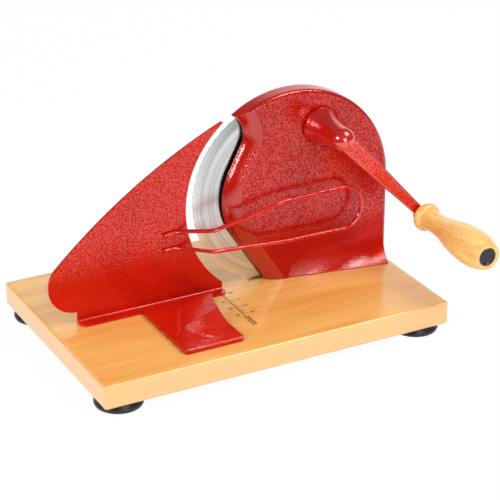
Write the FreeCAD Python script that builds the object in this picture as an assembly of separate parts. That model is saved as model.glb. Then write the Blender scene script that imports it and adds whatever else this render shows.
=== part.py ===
import FreeCAD, Part
import math
import os

from FreeCAD import Vector

# Hand-cranked bread slicer: a cast housing and a round blade on a wooden board, with a sliding
# stop plate that sets the slice thickness.
# The pieces are drawn in the board's own frame: X along its length, Y away from the user, Z up,
# and Z = 0 on its top face. save() then moves them so that the slicer stands on Z = 0 with its
# bounding box centred on X and Y.

# ---- board and feet, mm ----
board_length = 360.0
board_depth = 240.0
board_thickness = 24.0
board_edge_round = 3.0
foot_radius = 23.0
foot_taper = 2.0
foot_height = 9.0
foot_tread_round = 3.0
foot_inset = 23.5
foot_floor = 4.5
foot_screw_radius = 2.0
foot_screw_head_radius = 4.5
foot_screw_head_height = 2.5
foot_screw_grip = 12.0

# ---- blade and gears ----
blade_radius = 95.0
blade_thickness = 1.5
blade_dip = 5.0             # how far the blade reaches below the board's top
blade_from_end = 112.5      # from the board's right end to the blade's axle
blade_plane_y = 11.5        # the blade's face towards the user
blade_bevel_width = 9.0
blade_edge_thickness = 0.3
blade_waves = 60
blade_wave_depth = 0.7
blade_slot_margin = 1.5
axle_radius = 6.0
hub_radius = 11.0
hub_ahead = 2.0             # how far the hub stands in front of the gear
gear_module = 1.5
gear_width = 5.0
gear_margin = 9.0           # at least this from the blade gear's tips to the housing's S-shaped edge
pinion_teeth = 24
gear_backlash = 0.25        # taken off each tooth's thickness
pressure_angle = 20.0
web_dish_depth = 2.0
web_inner_radius = 15.0
web_rim_width = 8.0
web_holes = 6
web_hole_radius = 6.5
web_hole_edge = 6.5         # from a lightening hole to the toothed ring
web_hole_turn = 45.0        # degrees, the first hole's direction
rivet_count = 6
rivet_radius = 2.0
rivet_head_radius = 3.6
rivet_head_height = 1.4
rivet_circle = 24.0
rivet_turn = 15.0
crank_direction = 61.1      # degrees, from the blade's axle to the crank shaft
blade_screw_head_radius = 11.5
blade_screw_head_height = 2.2
blade_screw_radius = 2.5
blade_screw_grip = 8.0

# ---- housing ----
housing_depth = 16.0
housing_wall = 3.0
housing_floor = 8.0
rim_margin = 10.5           # the housing's round outline is this much larger than the blade
rim_drop = 1.5              # and its centre this much lower
rim_round = 3.5
bare_blade_width = 29.0     # what the housing leaves bare of the blade, to the left
window_end_turn = 213.0     # degrees about the axle, where the S-shaped edge leaves its arc
window_straight = 27.8      # straight stretch between the S-shaped edge's two arcs
notch_radius = 24.2
notch_direction = 135.6     # degrees, from the blade's axle to the notch's centre
cove_width = 15.5           # how far the rolled front edge stands back from the window
cove_start_turn = 18.0
cove_past_tip = 12.0        # degrees that the roll runs on beyond the housing's tip
lip_height = 1.3
flare_height = 32.0
flare_depth = 18.5
flare_end_inset = 7.5
flare_toe_height = 1.5
axle_boss_radius = 13.0
axle_seat_depth = 4.6
sleeve_length = 23.0
sleeve_wall = 2.0
sleeve_inner_length = 2.0
housing_screw_radius = 2.5
housing_screw_head_radius = 4.8
housing_screw_head_height = 3.0
housing_screw_recess = 6.0
housing_screw_grip = 5.5
housing_screw_from_axle = 14.5
housing_screw_inset = 14.0  # from the board's right end
flare_screw_inset = 30.0

# ---- crank ----
crank_length = 129.5
crank_rest_angle = -46.2    # degrees from +X about the shaft, seen from the user's side
arm_ahead = 48.0            # from the housing's face to the arm's front
arm_thickness = 6.0
arm_width_hub = 17.2
arm_width_end = 10.2
arm_end_radius = 8.5
arm_bevel = 0.9
bell_radius = 19.5
bell_lip = 3.0
bell_neck_radius = 11.5
bell_shoulder_depth = 7.0   # behind the lip, where the bell's flank has come in this far:
bell_shoulder_in = 3.2
bell_waist_depth = 21.0
bell_waist_swell = 1.4      # and here it is still this much wider than the neck
bell_wall = 3.0
bell_end_space = 2.5
dome_height = 3.5
shaft_radius = 5.0
shaft_square = 7.0
shaft_seat_depth = 14.0
bush_wall = 2.5
bush_length = 10.0
pinion_recess_radius = 7.0
pinion_screw_radius = 1.5
pinion_screw_head_radius = 6.5
pinion_screw_head_height = 2.4
pinion_screw_grip = 6.0

# ---- grip ----
grip_length = 108.0
grip_face_radius = 10.9
grip_bead_radius = 14.3
grip_bead_length = 9.6
grip_neck_radius = 10.3
grip_neck_at = 20.5
grip_hollow_radius = 110.0  # of the long hollow round the neck
grip_belly_radius = 18.0
grip_belly_at = 84.0
grip_end_radius = 13.0
grip_cap_radius = 9.0
grip_cap_thickness = 2.5
grip_cap_proud = 0.6
grip_cap_rim = 1.8
spindle_radius = 4.0
spindle_head_radius = 6.6
spindle_head_height = 4.5
spindle_head_depth = 12.0   # from the grip's end to the shoulder under the head
washer_thickness = 1.0
grip_washer_radius = 8.0

# ---- stop plate and guard ----
slice_setting = 5.5         # the thickness that the drawn position cuts
slice_max = 15.0
stop_thickness = 2.0
stop_corner_radius = 28.0
stop_corner_z = 40.0
stop_corner_turn = 140.0    # degrees, where the low left corner meets the long edge
stop_edge_bulge = 9.4
stop_arc_gap = 10.7         # from the blade's edge to the plate's hollow edge
stop_tip_above = 84.2       # the tip's height above the axle
stop_tip_round = 1.6
stop_heel_height = 9.0
stop_heel_round = 2.0
flange_width = 11.0
flange_end_round = 5.0
bend_radius = 1.3
wire_radius = 2.0
guard_clearance = 11.0      # from the guard's wire to the housing's face
guard_above = 1.0           # the upper leg's height above the axle, at its far end
guard_below = 43.0
guard_reach = 53.5          # from the axle to where the bow begins
guard_bend = 14.0
guard_arch = 120.0
guard_seat_length = 15.0
guard_step_length = 29.0
guard_seat_inset = 9.0
guard_seat_upper = 17.0     # the welded ends' distances below the axle
guard_seat_lower = 34.0
guard_upper_rise = 1.7      # the upper leg's rise over its welded end, and over its step
guard_lower_drop = 3.0      # the lower leg's drop over its step
guard_leg_bow = 0.7         # and how far both legs bow towards each other in front of the axle
guard_bow_at = 9.0

# ---- slide ----
cover_width = 60.5
cover_thickness = 2.8
cover_front_margin = 20.0   # from the board's front edge
cover_past_stop = 7.7       # how far it reaches past the plate's hollow edge
cover_gap = 7.0             # from the plate to the cover
cover_corner_round = 3.0
cover_edge_round = 1.0
root_flare_length = 61.0    # the tongue widens over this length before the plate
root_flare_radius = 93.0
thumb_rise = 6.5
thumb_step = 1.2
thumb_ridge_length = 46.5   # the low step that crosses the thumb rest, from its left end
thumb_ridge_from_front = 30.5
thumb_ridge_slant = 22.5
thumb_ramp_from_front = 8.0
thumb_ramp_slant = 24.0
thumb_ramp_fall = 10.0      # how far the ramp's front right corner lies below the step
slide_screw_radius = 1.5
slide_screw_head_radius = 3.0
slide_screw_grip = 1.8
slide_screw_inset = 8.0

# ---- guide under the board ----
guide_from_front = 26.0
guide_from_back = 31.0
guide_sleeve_radius = 5.0
guide_bolt_radius = 3.0
guide_head_radius = 5.1
guide_head_height = 1.9
guide_pocket_depth = 9.0
guide_pocket_width = 26.0
guide_washer_radius = 10.0
guide_washer_thickness = 1.2
guide_spring_radius = 7.5
guide_spring_rise = 0.9
guide_spring_thickness = 0.7
guide_nut_radius = 5.77
guide_nut_height = 5.0

# ---- clearances ----
seat_gap = 0.05             # between pieces of one body
running_gap = 0.08          # radial, between a shaft and its bearing
slide_gap = 0.2             # between sliding faces
face_gap = 0.3              # between faces that pass each other
wide_gap = 0.6              # beside the blade and inside recesses
cut_over = 1.0              # how far a cutting tool runs past the faces it opens


# ---- small drawing helpers ----
def polar(x, z, radius, degrees, y=0.0):
    """The point at a radius and angle about an axis along Y."""
    turn = math.radians(degrees)
    return Vector(x + radius * math.cos(turn), y, z + radius * math.sin(turn))


def line(a, b):
    return Part.LineSegment(a, b).toShape()


def arc(a, middle, b):
    return Part.Arc(a, middle, b).toShape()


def arc_about(x, z, radius, start, end, y=0.0):
    """An arc about an axis along Y, between two angles in degrees."""
    return arc(polar(x, z, radius, start, y), polar(x, z, radius, (start + end) / 2.0, y),
               polar(x, z, radius, end, y))


def polygon(points):
    return Part.makePolygon(points + [points[0]])


def rod_y(radius, y_from, y_to, x, z):
    """A round bar along Y."""
    return Part.makeCylinder(radius, y_to - y_from, Vector(x, y_from, z), Vector(0, 1, 0))


def rod_z(radius, z_from, z_to, x, y):
    """An upright round bar."""
    return Part.makeCylinder(radius, z_to - z_from, Vector(x, y, z_from))


def block(x_from, x_to, y_from, y_to, z_from, z_to):
    return Part.makeBox(x_to - x_from, y_to - y_from, z_to - z_from, Vector(x_from, y_from, z_from))


def turned_y(profile, x, z):
    """Solid of revolution about an axis along Y; the profile is a list of (radius, y) corners."""
    corners = [Vector(x + radius, y, z) for radius, y in profile]
    return Part.Face(polygon(corners)).revolve(Vector(x, 0, z), Vector(0, 1, 0), 360)


def turned_z(profile, x, y):
    """Solid of revolution about an upright axis; the profile is a list of (radius, z) corners."""
    corners = [Vector(x + radius, y, z) for radius, z in profile]
    return Part.Face(polygon(corners)).revolve(Vector(x, y, 0), Vector(0, 0, 1), 360)


def edges_where(shape, test):
    """The shape's edges whose centre passes a test."""
    return [edge for edge in shape.Edges if test(edge.CenterOfMass)]


def close(a, b):
    return abs(a - b) < 0.01


# ---- values worked out from the sizes ----
board_top = 0.0
board_bottom = board_top - board_thickness
board_right = board_length / 2.0
board_front = -board_depth / 2.0
far_away = board_length + board_depth

blade_x = board_right - blade_from_end
blade_z = board_top + blade_radius - blade_dip
blade_back_y = blade_plane_y + blade_thickness
gear_front_y = blade_plane_y - gear_width
hub_front_y = gear_front_y - hub_ahead
window_radius = blade_radius - bare_blade_width
blade_gear_teeth = math.floor(2.0 * (window_radius - gear_margin) / gear_module - 2.0)
gear_tip_radius = gear_module * (blade_gear_teeth / 2.0 + 1.0)
dish_radius = gear_tip_radius - web_rim_width
web_hole_circle = dish_radius - web_hole_radius - web_hole_edge
gear_distance = gear_module * (blade_gear_teeth + pinion_teeth) / 2.0
crank_axis = polar(blade_x, blade_z, gear_distance, crank_direction)
crank_x = crank_axis.x
crank_z = crank_axis.z

housing_back_y = blade_back_y
housing_front_y = housing_back_y - housing_depth
cavity_front_y = housing_front_y + housing_wall
housing_radius = blade_radius + rim_margin
housing_x = board_right - housing_radius
housing_z = blade_z - rim_drop
notch_distance = math.hypot(notch_radius + window_radius, window_straight)
notch_center = polar(blade_x, blade_z, notch_distance, notch_direction)
notch_end_turn = (notch_direction - 180.0
                  + math.degrees(math.atan2(window_straight, notch_radius + window_radius)))
lip_back_y = blade_plane_y - wide_gap
cove_depth = lip_back_y - lip_height - housing_front_y
axle_boss_back_y = hub_front_y - face_gap
axle_front_y = axle_boss_back_y - axle_seat_depth
bush_radius = shaft_radius + bush_wall
sleeve_radius = bush_radius + sleeve_wall
sleeve_front_y = housing_front_y - sleeve_length
sleeve_back_y = cavity_front_y + sleeve_inner_length

arm_front_y = housing_front_y - arm_ahead
arm_back_y = arm_front_y + arm_thickness
bell_mouth_y = housing_front_y - cut_over
bell_end_y = sleeve_front_y - bell_end_space
shaft_front_y = bell_end_y - shaft_seat_depth
shaft_shoulder_y = sleeve_back_y + face_gap
pinion_back_y = blade_plane_y - wide_gap - face_gap
pinion_seat_y = pinion_back_y - pinion_screw_head_height - 2.0 * face_gap
square_end_y = pinion_seat_y - seat_gap
grip_axis = polar(crank_x, crank_z, crank_length, crank_rest_angle)
grip_x = grip_axis.x
grip_z = grip_axis.z
grip_start_y = arm_front_y - washer_thickness - face_gap
grip_end_y = grip_start_y - grip_length
spindle_shoulder_y = grip_end_y + spindle_head_depth - face_gap

stop_back_y = blade_plane_y - slice_setting
stop_front_y = stop_back_y - stop_thickness
stop_arc_radius = blade_radius + stop_arc_gap
stop_hollow_x = blade_x - stop_arc_radius
stop_corner_x = -board_right + stop_corner_radius
stop_heel_x = blade_x - math.sqrt(stop_arc_radius ** 2 - (blade_z - stop_heel_height) ** 2)
sheet_bottom = board_top + slide_gap
sheet_top = sheet_bottom + stop_thickness
flange_front_y = stop_front_y - flange_width
cover_top = sheet_top + cover_thickness
cover_right_x = stop_hollow_x + cover_past_stop
cover_left_x = cover_right_x - cover_width
cover_front_y = board_front + cover_front_margin
cover_back_y = stop_front_y - cover_gap
travel_forward = slice_max - slice_setting
travel_back = slice_setting
guide_x = (cover_left_x + cover_right_x) / 2.0
guide_ys = (cover_front_y + guide_from_front, cover_back_y - guide_from_back)
guide_stack_top = board_bottom + guide_pocket_depth - 2.0 * slide_gap

frame_shift = Vector((board_right - grip_x - grip_belly_radius) / 2.0,
                     -(grip_end_y - grip_cap_proud - board_front) / 2.0,
                     board_thickness + foot_height)


def save(node, *solids):
    """Write one node, as one solid or a group of solids, in the slicer's own frame."""
    shape = solids[0].copy() if len(solids) == 1 else Part.makeCompound([s.copy() for s in solids])
    shape.translate(frame_shift)
    shape.exportStep("parts/" + node + ".step")


# ---- board and feet ----
def foot_places():
    reach_x = board_right - foot_inset
    reach_y = -board_front - foot_inset
    return {"front_left": (-reach_x, -reach_y), "front_right": (reach_x, -reach_y),
            "back_left": (-reach_x, reach_y), "back_right": (reach_x, reach_y)}


def housing_screw_places():
    """Three screws under the housing's floor and one under its flared foot."""
    floor_y = cavity_front_y + housing_wall
    left = blade_x + housing_screw_from_axle
    right = board_right - housing_screw_inset
    return [(left, floor_y), ((left + right) / 2.0, floor_y), (right, floor_y),
            (board_right - flare_screw_inset, housing_front_y - housing_screw_radius)]


def slot_outline(width, z):
    """Round-ended slot, long enough for both guides over the whole travel."""
    half = width / 2.0
    front = guide_ys[0] - travel_forward
    back = guide_ys[1] + travel_back
    left = guide_x - half
    right = guide_x + half
    return Part.Wire([line(Vector(left, front, z), Vector(left, back, z)),
                      arc(Vector(left, back, z), Vector(guide_x, back + half, z), Vector(right, back, z)),
                      line(Vector(right, back, z), Vector(right, front, z)),
                      arc(Vector(right, front, z), Vector(guide_x, front - half, z), Vector(left, front, z))])


def make_board():
    """Solid wooden board: a guide slot with a pocket below it, a slot that the blade dips into,
    and holes for the screws of the housing and the feet."""
    board = block(-board_right, board_right, board_front, -board_front, board_bottom, board_top)
    board = board.makeFillet(board_edge_round, board.Edges)
    slot = Part.Face(slot_outline(2.0 * (guide_sleeve_radius + slide_gap), board_bottom)).extrude(
        Vector(0, 0, board_thickness))
    pocket = Part.Face(slot_outline(guide_pocket_width, board_bottom)).extrude(
        Vector(0, 0, guide_pocket_depth))
    half_chord = math.sqrt(blade_radius ** 2 - (blade_radius - blade_dip) ** 2)
    slot_reach = half_chord + 4.0 * blade_slot_margin
    blade_slot = block(blade_x - slot_reach, blade_x + slot_reach,
                       blade_plane_y - blade_slot_margin, blade_back_y + blade_slot_margin,
                       board_top - blade_dip - 2.0 * blade_slot_margin, board_top + cut_over)
    cutters = [slot, pocket, blade_slot]
    for x, y in housing_screw_places():
        cutters.append(rod_z(housing_screw_radius + seat_gap, board_bottom, board_top, x, y))
        cutters.append(rod_z(housing_screw_head_radius + wide_gap, board_bottom,
                             board_bottom + housing_screw_recess, x, y))
    for x, y in foot_places().values():
        cutters.append(rod_z(foot_screw_radius + seat_gap, board_bottom,
                             board_bottom + foot_screw_grip + cut_over, x, y))
    return board.cut(cutters)


def make_foot(x, y):
    """Rubber foot: a drafted disc with a counterbore for its screw. Two bevels, with their corners
    on one quarter round, ease its tread."""
    top = board_bottom
    tread = top - foot_height
    seat = tread + foot_floor
    hole = foot_screw_radius + seat_gap
    recess = foot_screw_head_radius + cut_over
    eased = foot_tread_round * (1.0 - math.sqrt(0.5))
    return turned_z([(hole, top), (foot_radius - foot_taper, top), (foot_radius, (top + tread) / 2.0),
                     (foot_radius, tread + foot_tread_round), (foot_radius - eased, tread + eased),
                     (foot_radius - foot_tread_round, tread), (recess, tread), (recess, seat), (hole, seat)],
                    x, y)


def make_foot_screws():
    """Pan-head screws that hold the rubber feet to the board."""
    seat = board_bottom - foot_height + foot_floor
    low = seat - foot_screw_head_height
    screws = []
    for x, y in foot_places().values():
        head = turned_z([(0.0, low), (foot_screw_head_radius * 0.6, low),
                         (foot_screw_head_radius, (low + seat) / 2.0), (foot_screw_head_radius, seat),
                         (0.0, seat)], x, y)
        screws.append(head.fuse(rod_z(foot_screw_radius, seat, board_bottom + foot_screw_grip, x, y)))
    return screws


# ---- housing ----
def tip_turn(rim_radius):
    """Angle about the notch's centre where the notch meets the round rim: the housing's tip."""
    across = Vector(housing_x - notch_center.x, 0, housing_z - notch_center.z)
    along = (notch_radius ** 2 - rim_radius ** 2 + across.Length ** 2) / (2.0 * across.Length)
    return math.degrees(math.atan2(across.z, across.x) + math.acos(along / notch_radius))


def window_path(start_turn, below):
    """The housing's S-shaped left edge, from its tip down past the board's top: the notch's arc,
    a straight tangent to both arcs, the arc about the blade and a straight foot."""
    window_start = notch_end_turn + 180.0
    foot_top = polar(blade_x, blade_z, window_radius, window_end_turn)
    downward = polar(0, 0, 1.0, window_end_turn + 90.0)
    foot_end = foot_top + downward * ((foot_top.z - board_top + below) / -downward.z)
    return [arc_about(notch_center.x, notch_center.z, notch_radius, start_turn, notch_end_turn),
            line(polar(notch_center.x, notch_center.z, notch_radius, notch_end_turn),
                 polar(blade_x, blade_z, window_radius, window_start)),
            arc_about(blade_x, blade_z, window_radius, window_start, window_end_turn),
            line(foot_top, foot_end)]


def housing_prism(inset, y_from, y_to):
    """The housing's outline, drawn in by `inset` at the rim and the right side, as a prism that
    runs on below the board's top."""
    below = 2.0 * cut_over
    radius = housing_radius - inset
    right = board_right - inset
    start = tip_turn(radius)
    path = window_path(start, below)
    tip = polar(notch_center.x, notch_center.z, notch_radius, start)
    rim_turn = math.degrees(math.atan2(tip.z - housing_z, tip.x - housing_x))
    shoulder = Vector(right, 0, housing_z)
    low_right = Vector(right, 0, board_top - below)
    low_left = path[-1].valueAt(path[-1].LastParameter)
    outline = Part.Wire(path + [line(low_left, low_right), line(low_right, shoulder),
                                arc(shoulder, polar(housing_x, housing_z, radius, rim_turn / 2.0), tip)])
    prism = Part.Face(outline).extrude(Vector(0, y_to - y_from, 0))
    prism.translate(Vector(0, y_from, 0))
    return prism


def cove_cutter(inset):
    """All that lies in front of the rolled S-shaped edge, `inset` inside its skin: a profile with
    a convex quarter, swept along the edge."""
    start_turn = tip_turn(housing_radius) + cove_past_tip
    path = Part.Wire(window_path(start_turn, cove_width))
    start = polar(notch_center.x, notch_center.z, notch_radius, start_turn)
    inward = polar(0, 0, 1.0, start_turn)
    low_sine = math.sin(math.radians(cove_start_turn))
    low_cosine = math.cos(math.radians(cove_start_turn))

    def on_roll(turn):
        across = cove_width * (1.0 - math.sin(math.radians(turn))) / (1.0 - low_sine)
        depth = cove_depth * (1.0 - math.cos(math.radians(turn)) / low_cosine)
        return start + inward * (across + inset) + Vector(0, housing_front_y + depth + inset / 3.0, 0)

    face_point = on_roll(cove_start_turn)
    lip_point = on_roll(90.0)
    ahead_y = housing_front_y - 2.0 * flare_depth
    behind_y = housing_back_y + cut_over if inset else lip_point.y
    outside = start - inward * (notch_radius * 0.6)
    roll = Part.BSplineCurve()
    roll.interpolate([on_roll(cove_start_turn + (90.0 - cove_start_turn) * n / 4.0) for n in range(5)])
    corners = [lip_point, Vector(lip_point.x, behind_y, lip_point.z), Vector(outside.x, behind_y, outside.z),
               Vector(outside.x, ahead_y, outside.z), Vector(face_point.x, ahead_y, face_point.z), face_point]
    sides = [line(a, b) for a, b in zip(corners, corners[1:]) if (b - a).Length > 0.001]
    sweep = Part.BRepOffsetAPI.MakePipeShell(path)
    sweep.setBiNormalMode(Vector(0, 1, 0))
    sweep.add(Part.Wire([roll.toShape()] + sides))
    sweep.build()
    sweep.makeSolid()
    return sweep.shape()


def flare_section(top, toe):
    """Upright section of the flared foot, from its top line on the housing's face to its toe."""
    reach = (toe - top).Length
    direction = (toe - top) * (1.0 / reach)
    drop = flare_height - flare_toe_height
    radius = (drop ** 2 + reach ** 2) / (2.0 * reach)
    half = math.asin(drop / radius) / 2.0
    high = Vector(top.x, top.y, board_top + flare_height)
    middle = high + direction * (radius * (1.0 - math.cos(half))) - Vector(0, 0, radius * math.sin(half))
    lip = Vector(toe.x, toe.y, board_top + flare_toe_height)
    inner = direction * -housing_wall
    low_z = board_top - 2.0 * cut_over
    toe_low = Vector(toe.x, toe.y, low_z)
    back_low = Vector(top.x, top.y, low_z) + inner
    return Part.Wire([line(high + inner, high), arc(high, middle, lip), line(lip, toe_low),
                      line(toe_low, back_low), line(back_low, high + inner)])


def foot_flare():
    """The housing's foot sweeps forward out of its face in a hollow curve that starts inside the
    wall beside the window and grows towards the right."""
    right_x = board_right - rim_round
    left = flare_section(Vector(blade_x, housing_front_y + 2.0 * face_gap, 0),
                         Vector(blade_x, housing_front_y + face_gap, 0))
    right = flare_section(Vector(right_x, housing_front_y, 0),
                          Vector(board_right - flare_end_inset, housing_front_y - flare_depth, 0))
    return Part.makeLoft([left, right], True, True)


def make_housing():
    """Cast housing: a round-topped shell open to the back, with a rolled S-shaped edge round the
    bare part of the blade, a flared foot, a boss for the blade's axle and a sleeve for the shaft."""
    body = housing_prism(0.0, housing_front_y, housing_back_y)
    rim = edges_where(body, lambda c: close(c.y, housing_front_y) and c.x > blade_x and c.z > board_top)
    body = body.makeFillet(rim_round, rim)
    body = body.fuse(foot_flare()).cut(cove_cutter(0.0))
    cavity = housing_prism(housing_wall, cavity_front_y, housing_back_y + cut_over)
    cavity = cavity.cut(cove_cutter(housing_wall))
    floor_back_y = blade_plane_y - 4.0 * wide_gap
    floor = block(-far_away, far_away, -far_away, floor_back_y, -far_away, board_top + housing_floor)
    body = body.cut(cavity.cut(floor))
    body = body.fuse([rod_y(axle_boss_radius, cavity_front_y - cut_over, axle_boss_back_y, blade_x, blade_z),
                      rod_y(sleeve_radius, sleeve_front_y, sleeve_back_y, crank_x, crank_z)])
    cutters = [block(-far_away, far_away, -far_away, far_away, -far_away, board_top),
               rod_y(blade_radius + 2.0 * wide_gap, lip_back_y, housing_back_y + cut_over, blade_x, blade_z),
               rod_y(axle_radius + seat_gap, axle_front_y, housing_back_y, blade_x, blade_z),
               rod_y(bush_radius + seat_gap, sleeve_front_y - cut_over, sleeve_back_y + cut_over,
                     crank_x, crank_z)]
    for x, y in housing_screw_places():
        cutters.append(rod_z(housing_screw_radius + seat_gap, board_top - cut_over,
                             board_top + housing_screw_grip + wide_gap, x, y))
    return body.cut(cutters)


def make_housing_screws():
    """Slotted screws from under the board into the housing's floor."""
    seat = board_bottom + housing_screw_recess
    low = seat - housing_screw_head_height
    screws = []
    for x, y in housing_screw_places():
        head = rod_z(housing_screw_head_radius, low, seat, x, y)
        slot = block(x - wide_gap, x + wide_gap, y - 2.0 * housing_screw_head_radius,
                     y + 2.0 * housing_screw_head_radius, low, low + housing_screw_head_height / 2.0)
        shank = rod_z(housing_screw_radius, seat, board_top + housing_screw_grip, x, y)
        screws.append(head.cut(slot).fuse(shank))
    return screws


def make_shaft_bushes():
    """Two bronze bushes, flush with the ends of the housing's sleeve."""
    bushes = []
    for start in (sleeve_front_y, sleeve_back_y - bush_length):
        ring = rod_y(bush_radius, start, start + bush_length, crank_x, crank_z)
        bore = rod_y(shaft_radius + running_gap, start - cut_over, start + bush_length + cut_over,
                     crank_x, crank_z)
        bushes.append(ring.cut(bore))
    return bushes


# ---- blade and its gear ----
def gear_outline(teeth, x, z, y, turned):
    """Spur gear outline; each flank is two chords of its involute, and `turned` puts a tooth's
    middle at that angle."""
    pitch = gear_module * teeth / 2.0
    base = pitch * math.cos(math.radians(pressure_angle))
    tip = pitch + gear_module
    root = pitch - 1.25 * gear_module
    low = max(base, root)
    middle = (low + tip) / 2.0
    step = 2.0 * math.pi / teeth
    half_tooth = step / 4.0 - gear_backlash / (2.0 * pitch)

    def involute(radius):
        pressure = math.acos(base / radius)
        return math.tan(pressure) - pressure

    def half_width(radius):
        return half_tooth + involute(pitch) - involute(radius)

    def at(radius, turn):
        return Vector(x + radius * math.cos(turn), y, z + radius * math.sin(turn))

    edges = []
    for tooth in range(teeth):
        axis = math.radians(turned) + tooth * step
        starts = at(root, axis - half_width(low))
        rises = at(low, axis - half_width(low))
        crest = at(tip, axis - half_width(tip))
        crest_end = at(tip, axis + half_width(tip))
        falls = at(low, axis + half_width(low))
        ends = at(root, axis + half_width(low))
        next_start = at(root, axis + step - half_width(low))
        rise_mid = at(middle, axis - half_width(middle))
        fall_mid = at(middle, axis + half_width(middle))
        if low > root:
            edges.append(line(starts, rises))
        edges += [line(rises, rise_mid), line(rise_mid, crest), line(crest, crest_end),
                  line(crest_end, fall_mid), line(fall_mid, falls)]
        if low > root:
            edges.append(line(falls, ends))
        edges.append(line(ends, next_start))
    return Part.Wire(edges)


def rivet_places():
    return [polar(blade_x, blade_z, rivet_circle, 360.0 * n / rivet_count + rivet_turn)
            for n in range(rivet_count)]


def make_blade():
    """Round knife with a wavy edge, ground from the user's side, and a plain hub hole."""
    step = 360.0 / blade_waves
    edges = []
    for wave in range(blade_waves):
        crest = polar(blade_x, blade_z, blade_radius, wave * step, blade_plane_y)
        trough = polar(blade_x, blade_z, blade_radius - blade_wave_depth, (wave + 0.5) * step, blade_plane_y)
        next_crest = polar(blade_x, blade_z, blade_radius, (wave + 1) * step, blade_plane_y)
        edges.append(arc(crest, trough, next_crest))
    disc = Part.Face(Part.Wire(edges)).extrude(Vector(0, blade_thickness, 0))
    inner = blade_radius - blade_bevel_width
    outer = blade_radius + cut_over
    slope = (blade_thickness - blade_edge_thickness) / blade_bevel_width
    ahead_y = blade_plane_y - cut_over
    bevel = turned_y([(inner, blade_plane_y), (outer, blade_plane_y + (outer - inner) * slope),
                      (outer, ahead_y), (inner, ahead_y)], blade_x, blade_z)
    holes = [rod_y(rivet_radius + seat_gap, ahead_y, blade_back_y + cut_over, p.x, p.z)
             for p in rivet_places()]
    hub_hole = rod_y(hub_radius + seat_gap, ahead_y, blade_back_y + cut_over, blade_x, blade_z)
    return disc.cut([bevel, hub_hole] + holes)


def make_blade_gear():
    """Moulded gear riveted to the blade: a toothed ring, a dished web with lightening holes, and a
    hub through the blade that turns on the axle."""
    outline = gear_outline(blade_gear_teeth, blade_x, blade_z, gear_front_y,
                           crank_direction + 180.0 / blade_gear_teeth)
    gear = Part.Face(outline).extrude(Vector(0, gear_width, 0))
    gear = gear.fuse(rod_y(hub_radius, hub_front_y, blade_back_y, blade_x, blade_z))
    ahead_y = gear_front_y - cut_over
    web_y = gear_front_y + web_dish_depth
    cutters = [turned_y([(web_inner_radius, ahead_y), (dish_radius, ahead_y), (dish_radius, web_y),
                         (web_inner_radius, web_y)], blade_x, blade_z),
               rod_y(axle_radius + running_gap, hub_front_y - cut_over, blade_back_y + cut_over,
                     blade_x, blade_z)]
    for n in range(web_holes):
        hole = polar(blade_x, blade_z, web_hole_circle, 360.0 * n / web_holes + web_hole_turn)
        cutters.append(rod_y(web_hole_radius, ahead_y, blade_plane_y + cut_over, hole.x, hole.z))
    for p in rivet_places():
        cutters.append(rod_y(rivet_radius + seat_gap, ahead_y, blade_plane_y + cut_over, p.x, p.z))
    return gear.cut(cutters)


def make_gear_rivets():
    """Rivets through the blade and the gear's web, flush with the blade's far side."""
    web_y = gear_front_y + web_dish_depth
    rivets = []
    for p in rivet_places():
        head = turned_y([(0.0, web_y - rivet_head_height), (rivet_radius, web_y - rivet_head_height),
                         (rivet_head_radius, web_y), (0.0, web_y)], p.x, p.z)
        rivets.append(rod_y(rivet_radius, web_y, blade_back_y, p.x, p.z).fuse(head))
    return rivets


def make_blade_axle():
    """Steel pin pressed into the housing's boss; the blade turns on it."""
    back = blade_back_y + face_gap
    pin = rod_y(axle_radius, axle_front_y, back, blade_x, blade_z)
    return pin.cut(rod_y(blade_screw_radius + seat_gap, back - blade_screw_grip - seat_gap, back + cut_over,
                         blade_x, blade_z))


def make_blade_screw():
    """Flat coin-slotted screw that keeps the blade on its axle."""
    seat = blade_back_y + face_gap
    top = seat + blade_screw_head_height
    bevel = blade_screw_head_height / 2.0
    head = turned_y([(0.0, seat), (blade_screw_head_radius, seat), (blade_screw_head_radius, top - bevel),
                     (blade_screw_head_radius - bevel, top), (0.0, top)], blade_x, blade_z)
    slot = block(blade_x - 2.0 * blade_screw_head_radius, blade_x + 2.0 * blade_screw_head_radius,
                 top - blade_screw_head_height / 2.0, top + cut_over, blade_z - wide_gap, blade_z + wide_gap)
    return head.cut(slot).fuse(rod_y(blade_screw_radius, seat - blade_screw_grip, seat, blade_x, blade_z))


# ---- crank, shaft and pinion ----
def on_arm(along, across, y):
    """A point of the crank arm: along it from the shaft, across it, and its depth."""
    turn = math.radians(crank_rest_angle)
    return Vector(crank_x + along * math.cos(turn) - across * math.sin(turn), y,
                  crank_z + along * math.sin(turn) + across * math.cos(turn))


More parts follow.
